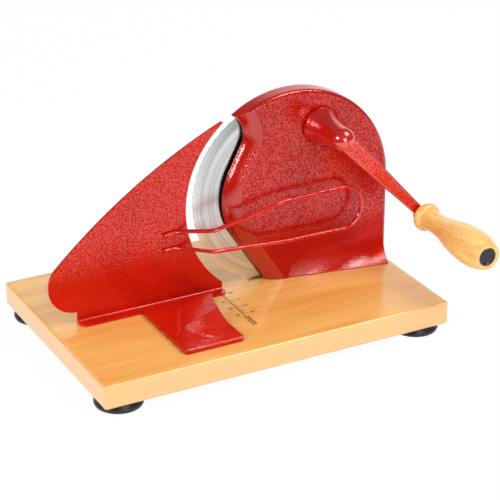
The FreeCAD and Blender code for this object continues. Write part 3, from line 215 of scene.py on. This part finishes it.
# ---- gear housing ----
# An aluminium casting in glossy red hammer enamel, screwed on from below through the board. The enamel
# dries in small dimples, 1.5 mm apart, that catch the light as pale sparks. It is smooth where it ran
# together, on edges and rims and low down.
def red_enamel(name, deep, bright, dimple, depth, gloss=1.8, flake=0.45, edge=1.0, steep=0.5,
               run_down=0.070):
    """Red hammer enamel: metal flake under a glossy coat.

    The gloss comes in grains, because the steep rims of the dimples throw light aside, and only the
    coat mirrors, so the base has no specular level of its own. dimple and depth are a dimple's size,
    gloss is the coat's IOR, and flake the share of metal. edge is the least gloss on flanks and rims.
    steep is how squarely a face must look to the front or back so as not to be a rim. Below the
    height run_down the enamel ran off and the grains lose their gloss.
    """
    cloud = 0.045  # slow changes in the coat's thickness
    fade_height = 0.022
    rim_turn = 0.15
    material, tree, shader = new_material(name, Metallic=flake, Roughness=0.3, IOR=1.5,
                                          Specular_IOR_Level=0.0, Coat_Roughness=0.04, Coat_IOR=gloss)
    place = add(tree, "ShaderNodeTexCoord").outputs["Object"]
    dimples = add(tree, "ShaderNodeTexNoise",
                  {"Vector": place, "Scale": 1 / dimple, "Detail": 1.0, "Roughness": 0.6})
    clouds = add(tree, "ShaderNodeTexNoise", {"Vector": place, "Scale": 1 / cloud, "Detail": 2.0})
    thickness = add(tree, "ShaderNodeMath", {0: dimples, 1: clouds}, operation="MULTIPLY")
    shade = add(tree, "ShaderNodeValToRGB", {"Fac": thickness}, [(0.12, deep), (0.42, bright)])

    height = add(tree, "ShaderNodeSeparateXYZ", {"Vector": place}).outputs["Z"]
    drained = add(tree, "ShaderNodeMapRange",
                  {"Value": height, "From Min": run_down, "From Max": run_down + fade_height,
                   "To Min": 0.2, "To Max": 1.0}, interpolation_type="SMOOTHSTEP")
    grains = add(tree, "ShaderNodeMapRange",
                 {"Value": dimples, "From Min": 0.44, "From Max": 0.56, "To Min": 0.15,
                  "To Max": drained})

    normal = add(tree, "ShaderNodeNewGeometry").outputs["Normal"]
    facing = add(tree, "ShaderNodeSeparateXYZ", {"Vector": normal})
    sideways = add(tree, "ShaderNodeMath", {0: facing.outputs["X"]}, operation="ABSOLUTE")
    frontal = add(tree, "ShaderNodeMath", {0: facing.outputs["Y"]}, operation="ABSOLUTE")
    on_flank = add(tree, "ShaderNodeMapRange",
                   {"Value": sideways, "From Min": 0.03, "From Max": 0.09, "To Max": edge})
    on_rim = add(tree, "ShaderNodeMapRange",
                 {"Value": frontal, "From Min": steep, "From Max": steep - rim_turn, "To Max": edge})
    ran_together = add(tree, "ShaderNodeMath", {0: on_flank, 1: on_rim}, operation="MAXIMUM")
    gloss_share = add(tree, "ShaderNodeMath", {0: grains, 1: ran_together}, operation="MAXIMUM")
    relief = add(tree, "ShaderNodeBump", {"Height": dimples, "Distance": depth, "Strength": 1.0})
    feed(shader, {"Base Color": shade, "Coat Weight": gloss_share, "Normal": relief,
                  "Coat Normal": relief})
    return material


def from_axle(tree, centre):
    """The distance from an axis along Y, for marks left by turning."""
    place = add(tree, "ShaderNodeTexCoord").outputs["Object"]
    shifted = add(tree, "ShaderNodeVectorMath", {0: place, 1: (centre.x, 0, centre.z)},
                  operation="SUBTRACT")
    flat = add(tree, "ShaderNodeVectorMath", {0: shifted, 1: (1, 0, 1)}, operation="MULTIPLY")
    return add(tree, "ShaderNodeVectorMath", {0: flat}, operation="LENGTH")


weld_gap = 0.000005


def crisp(name):
    """Welds a CAD mesh's faces and weighs its normals by area, so that flat faces shade flat."""
    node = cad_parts[name]
    weld = node.modifiers.new("weld", "WELD")
    weld.merge_threshold = weld_gap
    normals = node.modifiers.new("normals", "WEIGHTED_NORMAL")
    normals.keep_sharp = True
    normals.weight = 80


enamel = red_enamel("hammer_enamel", deep="#a40e06", bright="#bc1608", dimple=0.0015, depth=0.0002,
                    flake=0.25)
dress(enamel, "gear_housing")
crisp("gear_housing")
dress(zinc, "housing_screws")

# Around the blade the casting's inside is painted near-black and without gloss, from a little way in
# front of the blade backwards: a painted shadow of the gap there. It shows as a thin dark line beside
# the blade.
gap_shadow_band = 0.0035
low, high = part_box("blade")
blade_centre = (low + high) / 2
blade_radius = (high.x - low.x) / 2
tree = enamel.node_tree
shader = tree.nodes["Principled BSDF"]
place = add(tree, "ShaderNodeTexCoord").outputs["Object"]
depth = add(tree, "ShaderNodeSeparateXYZ", {"Vector": place}).outputs["Y"]
behind = add(tree, "ShaderNodeMath", {0: depth, 1: low.y - gap_shadow_band}, operation="GREATER_THAN")
near = add(tree, "ShaderNodeMath", {0: from_axle(tree, blade_centre), 1: blade_radius},
           operation="LESS_THAN")
in_gap_shadow = add(tree, "ShaderNodeMath", {0: behind, 1: near}, operation="MULTIPLY")
# The painted shadow replaces both the enamel's colour and its coat's gloss.
for socket, kind, gap_shadow in (("Base Color", "RGBA", linear("#0c0a0a")), ("Coat Weight", "FLOAT", 0.0)):
    enamelled = shader.inputs[socket].links[0].from_socket
    with_gap_shadow = add(tree, "ShaderNodeMix", {"Factor": in_gap_shadow, "A": enamelled, "B": gap_shadow}, data_type=kind)
    feed(shader, {socket: with_gap_shadow})

# ---- shaft bushes ----
# Two bushes of sintered bronze, pressed into the housing's sleeve. The bronze is dull and brown, and
# speckled by its pores.
bronze_pore = 0.0006  # about 0.05 mm in real bronze, drawn coarser so that it shows
bronze, tree, shader = new_material("sintered_bronze", Metallic=1.0, Roughness=0.38)
place = add(tree, "ShaderNodeTexCoord").outputs["Object"]
pores = add(tree, "ShaderNodeTexNoise", {"Vector": place, "Scale": 1 / bronze_pore, "Detail": 2.0})
shade = add(tree, "ShaderNodeValToRGB", {"Fac": pores}, [(0.35, "#8a6030"), (0.65, "#c09050")])
feed(shader, {"Base Color": shade})
dress(bronze, "shaft_bushes")

# ---- blade axle and blade screw ----
# A ground steel pin, pressed into the housing, carries the blade, and a bright coin-slotted screw
# keeps it there. The steel is bright grey, with fine rings from the grinding wheel's feed.
grinding_feed = 0.0004
steel, tree, shader = new_material("ground_steel", Metallic=1.0, Roughness=0.28)
place = add(tree, "ShaderNodeTexCoord").outputs["Object"]
rings = add(tree, "ShaderNodeMapping", {"Vector": place, "Scale": (1.0, 1 / grinding_feed, 1.0)})
turning = add(tree, "ShaderNodeTexNoise", {"Vector": rings, "Scale": 1.0, "Detail": 1.0})
shade = add(tree, "ShaderNodeValToRGB", {"Fac": turning}, [(0.3, "#a4a6a8"), (0.7, "#c4c6c8")])
feed(shader, {"Base Color": shade})
dress(steel, "blade_axle", "blade_screw")

# ---- blade ----
# A round knife of stainless steel, ground in circles on a turntable, with a wavy bevelled edge.
# The circular scratches spread each reflection into pale bands that run out from the axle.
scratch = 0.0011  # about 0.1 mm apart on a real blade, drawn coarser so that they show
band = 0.006
band_share = 0.25
knife_steel, tree, shader = new_material("ground_stainless", Metallic=1.0, Roughness=0.24,
                                         Anisotropic=0.75)
radius = from_axle(tree, blade_centre)
narrow = add(tree, "ShaderNodeMath", {0: radius, 1: 1 / scratch}, operation="MULTIPLY")
scratches = add(tree, "ShaderNodeTexNoise", {"W": narrow, "Scale": 1.0, "Detail": 3.0},
                noise_dimensions="1D")
wide = add(tree, "ShaderNodeMath", {0: radius, 1: 1 / band}, operation="MULTIPLY")
bands = add(tree, "ShaderNodeTexNoise", {"W": wide, "Scale": 1.0, "Detail": 1.0},
            noise_dimensions="1D")
both = add(tree, "ShaderNodeMix", {"Factor": band_share, "A": scratches, "B": bands})
shade = add(tree, "ShaderNodeValToRGB", {"Fac": both}, [(0.40, "#c0c3c6"), (0.58, "#e8eaec")])
relief = add(tree, "ShaderNodeBump", {"Height": scratches, "Distance": 0.00001, "Strength": 0.25})
round_axle = add(tree, "ShaderNodeTangent", direction_type="RADIAL", axis="Y")
feed(shader, {"Base Color": shade, "Normal": relief, "Tangent": round_axle})
dress(knife_steel, "blade")

# ---- blade gear and its rivets ----
# A moulded acetal gear behind the blade, joined to it by six steel rivets. Acetal is off-white and
# slightly waxy, with faint flow marks from the mould.
flow_mark = 0.012
acetal, tree, shader = new_material("moulded_acetal", Roughness=0.45, IOR=1.48)
place = add(tree, "ShaderNodeTexCoord").outputs["Object"]
flow = add(tree, "ShaderNodeTexNoise", {"Vector": place, "Scale": 1 / flow_mark, "Detail": 2.0})
shade = add(tree, "ShaderNodeValToRGB", {"Fac": flow}, [(0.3, "#ddd9cc"), (0.7, "#ece8dc")])
feed(shader, {"Base Color": shade})
dress(acetal, "blade_gear")
dress(steel, "gear_rivets")

# ---- crank shaft and pinion ----
# A ground steel shaft that runs in the two bushes. The steel pinion sits on its square end, and a
# zinc-plated screw keeps it on.
dress(steel, "crank_shaft", "pinion")
dress(zinc, "pinion_screw")


# ---- crank arm ----
# The arm is cast like the housing, with a bell over the shaft's sleeve, and coated in the same enamel.
# The coat is thinner here, so its dimples are smaller and shallower, and more of its flake shows.
def rounded_by_enamel(name, grid, passes):
    """Remeshes a CAD casting finely and relaxes it, as a thick coat of enamel softens its edges."""
    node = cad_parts[name]
    weld = node.modifiers.new("weld", "WELD")
    weld.merge_threshold = weld_gap
    remesh = node.modifiers.new("even_grid", "REMESH")
    remesh.mode = "VOXEL"
    remesh.voxel_size = grid
    remesh.use_smooth_shade = True
    relax = node.modifiers.new("relax", "SMOOTH")
    relax.factor = 0.5
    relax.iterations = passes


crank_enamel = red_enamel("hammer_enamel_thin", deep="#c80e06", bright="#ea3228", dimple=0.0014,
                          depth=0.0001, gloss=2.1, flake=0.6)
dress(crank_enamel, "crank_arm")
rounded_by_enamel("crank_arm", grid=0.0006, passes=3)

# ---- wooden grip and its bolt ----
# Turned from beech along the grain and clear-lacquered. Short darker flecks run along it, and the
# turning leaves faint rings. It turns on a steel bolt, with a washer against the arm.
figure_length = 0.05
figure_width = 0.006
fleck_length = 0.006
fleck_width = 0.0007
fleck_depth = 0.8
ring_step = 0.0011  # about 0.3 mm from a real tool, drawn coarser so that it shows
beech, tree, shader = new_material("lacquered_beech", Roughness=0.34, IOR=1.5, Coat_Weight=0.4,
                                   Coat_Roughness=0.18)
place = add(tree, "ShaderNodeTexCoord").outputs["Object"]
grown = add(tree, "ShaderNodeMapping",
            {"Vector": place, "Scale": (1 / figure_width, 1 / figure_length, 1 / figure_width)})
figure = add(tree, "ShaderNodeTexNoise", {"Vector": grown, "Scale": 1.0, "Detail": 3.0})
base = add(tree, "ShaderNodeValToRGB", {"Fac": figure}, [(0.3, "#f2c478"), (0.7, "#e4a656")])
marks = add(tree, "ShaderNodeMapping",
            {"Vector": place, "Scale": (1 / fleck_width, 1 / fleck_length, 1 / fleck_width)})
flecks = add(tree, "ShaderNodeTexNoise", {"Vector": marks, "Scale": 1.0, "Detail": 1.0})
fleck_tone = add(tree, "ShaderNodeValToRGB", {"Fac": flecks}, [(0.56, "#ffffff"), (0.72, "#cf9c66")])
grip_colour = add(tree, "ShaderNodeMix", {"Factor": fleck_depth, "A": base, "B": fleck_tone},
                  data_type="RGBA", blend_type="MULTIPLY")
turned = add(tree, "ShaderNodeMapping", {"Vector": place, "Scale": (1.0, 1 / ring_step, 1.0)})
rings = add(tree, "ShaderNodeTexNoise", {"Vector": turned, "Scale": 1.0, "Detail": 1.0})
relief = add(tree, "ShaderNodeBump", {"Height": rings, "Distance": 0.00003, "Strength": 0.5})
feed(shader, {"Base Color": grip_colour, "Normal": relief})
dress(beech, "wooden_grip")
dress(steel, "grip_spindle")
dress(zinc, "grip_washer")

# ---- grip cap ----
# A black polypropylene plug pressed into the grip's end. It is moulded glossy, and handling has left
# slightly greyer patches on it.
wear_patch = 0.004
black_plastic, tree, shader = new_material("moulded_polypropylene", Roughness=0.25, IOR=1.49)
place = add(tree, "ShaderNodeTexCoord").outputs["Object"]
wear = add(tree, "ShaderNodeTexNoise", {"Vector": place, "Scale": 1 / wear_patch, "Detail": 3.0})
shade = add(tree, "ShaderNodeValToRGB", {"Fac": wear}, [(0.3, "#14161a"), (0.7, "#262a30")])
feed(shader, {"Base Color": shade})
dress(black_plastic, "grip_cap")

# ---- stop plate ----
# Sheet steel, folded at its foot, with a tongue that slides over the board. The sheet takes a thick
# coat of the red enamel, with large deep dimples on its upright faces, and smooth on fold and edges.
sheet_enamel = red_enamel("hammer_enamel_sheet", deep="#bc1a08", bright="#d4220e", dimple=0.0019,
                          depth=0.00025, steep=0.97)
dress(sheet_enamel, "stop_plate")
crisp("stop_plate")

# ---- slide cover ----
# A casting with a raised thumb rest, screwed to the tongue from below. Its coat is thick and mirrors
# sharply, in grains on every face, its edges too.
cover_enamel = red_enamel("hammer_enamel_cover", deep="#b81405", bright="#ce200c", dimple=0.0016,
                          depth=0.00025, gloss=2.2, flake=0.2, edge=0.0, run_down=0)
dress(cover_enamel, "slide_cover")
rounded_by_enamel("slide_cover", grid=0.0005, passes=2)
dress(zinc, "slide_screws")

# ---- wire guard ----
# A hairpin of bent steel wire in front of the housing, welded to the stop plate. On the wire the
# enamel is thin and nearly smooth.
wire_enamel = red_enamel("enamel_on_wire", deep="#b80602", bright="#dc140a", dimple=0.0020,
                         depth=0.0001, gloss=1.9, run_down=0)
dress(wire_enamel, "wire_guard")

# ---- slide guides ----
# Two zinc-plated bolts go down through the tongue and the board's slot. Each has an acetal sleeve in
# the slot, and a washer, a spring washer and a nut under the board.
dress(acetal, "guide_sleeves")
dress(zinc, "guide_bolts", "guide_washers", "guide_springs", "guide_nuts")

# ---- camera and light ----
# A plain white studio, seen from the user's side and from the left, 25 degrees up. An even room and
# three soft boxes light the slicer. What its gloss mirrors is a dim room with two bright panels and a
# patch of floor that glows as painted light, which gives enamel and steel their contrast.
camera_distance = 1.8708
view_turn = math.radians(-27.965)
view_height = math.radians(25.007)
looked_at = Vector((0.05098, 0.0927, 0.033))
back = Vector((math.sin(view_turn) * math.cos(view_height), -math.cos(view_turn) * math.cos(view_height),
               math.sin(view_height)))
camera = bpy.data.objects.new("camera", bpy.data.cameras.new("camera"))
scene.collection.objects.link(camera)
scene.camera = camera
camera.data.lens = 132.74
camera.data.sensor_width = 36
camera.location = looked_at + back * camera_distance
camera.rotation_mode = "QUATERNION"
camera.rotation_quaternion = (-back).to_track_quat("-Z", "Y")
scene.view_settings.view_transform = "Standard"

# The first panel stands behind the slicer on its right and ends about 45 degrees up. The second is
# small and stands opposite, on the user's side. To the camera the whole room is white.
panel_heading = (0.6, 0.8, 0)
room_light = 0.78
room_mirrored = 0.12
world = bpy.data.worlds.new("studio")
scene.world = world
world.use_nodes = True
sky = world.node_tree
direction = add(sky, "ShaderNodeTexCoord").outputs["Generated"]
axes = add(sky, "ShaderNodeSeparateXYZ", {"Vector": direction})
towards = add(sky, "ShaderNodeVectorMath", {0: direction, 1: panel_heading}, operation="DOT_PRODUCT")
behind = add(sky, "ShaderNodeMapRange", {"Value": towards, "From Min": 0.68, "From Max": 0.9},
             interpolation_type="SMOOTHSTEP")
low_down = add(sky, "ShaderNodeMapRange",
               {"Value": axes.outputs["Z"], "From Min": 0.8, "From Max": 0.5},
               interpolation_type="SMOOTHSTEP")
backdrop = add(sky, "ShaderNodeMath", {0: behind, 1: low_down}, operation="MULTIPLY")
opposite = add(sky, "ShaderNodeMapRange",
               {"Value": axes.outputs["Y"], "From Min": -0.90, "From Max": -0.97},
               interpolation_type="SMOOTHSTEP")
panels = add(sky, "ShaderNodeMath", {0: backdrop, 1: opposite}, operation="MAXIMUM")
seen = add(sky, "ShaderNodeLightPath")
walls = add(sky, "ShaderNodeMapRange",
            {"Value": seen.outputs["Is Glossy Ray"], "To Min": room_light, "To Max": room_mirrored})
room = add(sky, "ShaderNodeMapRange", {"Value": panels, "To Min": walls, "To Max": 1.0})
level = add(sky, "ShaderNodeMath", {0: room, 1: seen.outputs["Is Camera Ray"]}, operation="MAXIMUM")
feed(sky.nodes["Background"], {"Color": linear("#ffffff"), "Strength": level})

# White paper covers the floor. To the camera it is white with a faint shadow. In gloss it glows as
# painted light, with no lamp there, in a round pool on the right and where it sweeps up at the back,
# and it is dark elsewhere.
floor_half = 6.0
pool_centre = (0.55, -0.1, 0)
pool_core = 0.90
pool_edge = 1.15
sweep_start = 0.2
sweep_end = 0.5
glow_share = 0.97
paper, tree, shader = new_material("white_paper", Roughness=0.9)
feed(shader, {"Base Color": linear("#e8e8e8")})
spot = add(tree, "ShaderNodeTexCoord").outputs["Object"]
from_pool = add(tree, "ShaderNodeVectorMath", {0: spot, 1: pool_centre}, operation="DISTANCE")
pool = add(tree, "ShaderNodeMapRange",
           {"Value": from_pool, "From Min": pool_edge, "From Max": pool_core},
           interpolation_type="SMOOTHSTEP")
depth = add(tree, "ShaderNodeSeparateXYZ", {"Vector": spot}).outputs["Y"]
sweep = add(tree, "ShaderNodeMapRange",
            {"Value": depth, "From Min": sweep_start, "From Max": sweep_end},
            interpolation_type="SMOOTHSTEP")
# The glowing patch is painted light: the paper glows there in reflections and is not lit by a lamp.
glow_patch = add(tree, "ShaderNodeMath", {0: pool, 1: sweep}, operation="MAXIMUM")
seen = add(tree, "ShaderNodeLightPath")
by_camera = seen.outputs["Is Camera Ray"]
by_gloss = seen.outputs["Is Glossy Ray"]
mirrored = add(tree, "ShaderNodeMath", {0: glow_patch, 1: by_gloss}, operation="MULTIPLY")
level = add(tree, "ShaderNodeMath", {0: by_camera, 1: mirrored}, operation="MAXIMUM")
glow = add(tree, "ShaderNodeEmission", {"Color": linear("#ffffff"), "Strength": level})
either = add(tree, "ShaderNodeMath", {0: by_camera, 1: by_gloss}, operation="MAXIMUM")
share = add(tree, "ShaderNodeMath", {0: either, 1: glow_share}, operation="MULTIPLY")
mixed = add(tree, "ShaderNodeMixShader", {0: share, 1: shader, 2: glow})
feed(tree.nodes["Material Output"], {"Surface": mixed})
floor_mesh = bpy.data.meshes.new("floor")
floor_mesh.from_pydata([(-floor_half, -floor_half, 0), (floor_half, -floor_half, 0),
                        (floor_half, floor_half, 0), (-floor_half, floor_half, 0)], [], [(0, 1, 2, 3)])
floor_mesh.materials.append(paper)
floor = bpy.data.objects.new("floor", floor_mesh)
scene.collection.objects.link(floor)

lamp_aim = Vector((0, 0, 0.1))


def soft_box(name, place, size, power):
    """A square soft box that faces the slicer."""
    light = bpy.data.lights.new(name, "AREA")
    light.size = size
    light.energy = power
    lamp = bpy.data.objects.new(name, light)
    scene.collection.objects.link(lamp)
    lamp.location = place
    lamp.rotation_mode = "QUATERNION"
    lamp.rotation_quaternion = (Vector(place) - lamp_aim).to_track_quat("Z", "Y")


soft_box("key_lamp", (0.92, -0.86, 1.65), size=0.9, power=19)
soft_box("fill_lamp", (0.0, -2.3, 0.5), size=0.7, power=11)
soft_box("left_lamp", (-2.1, -0.6, 1.1), size=0.8, power=24)
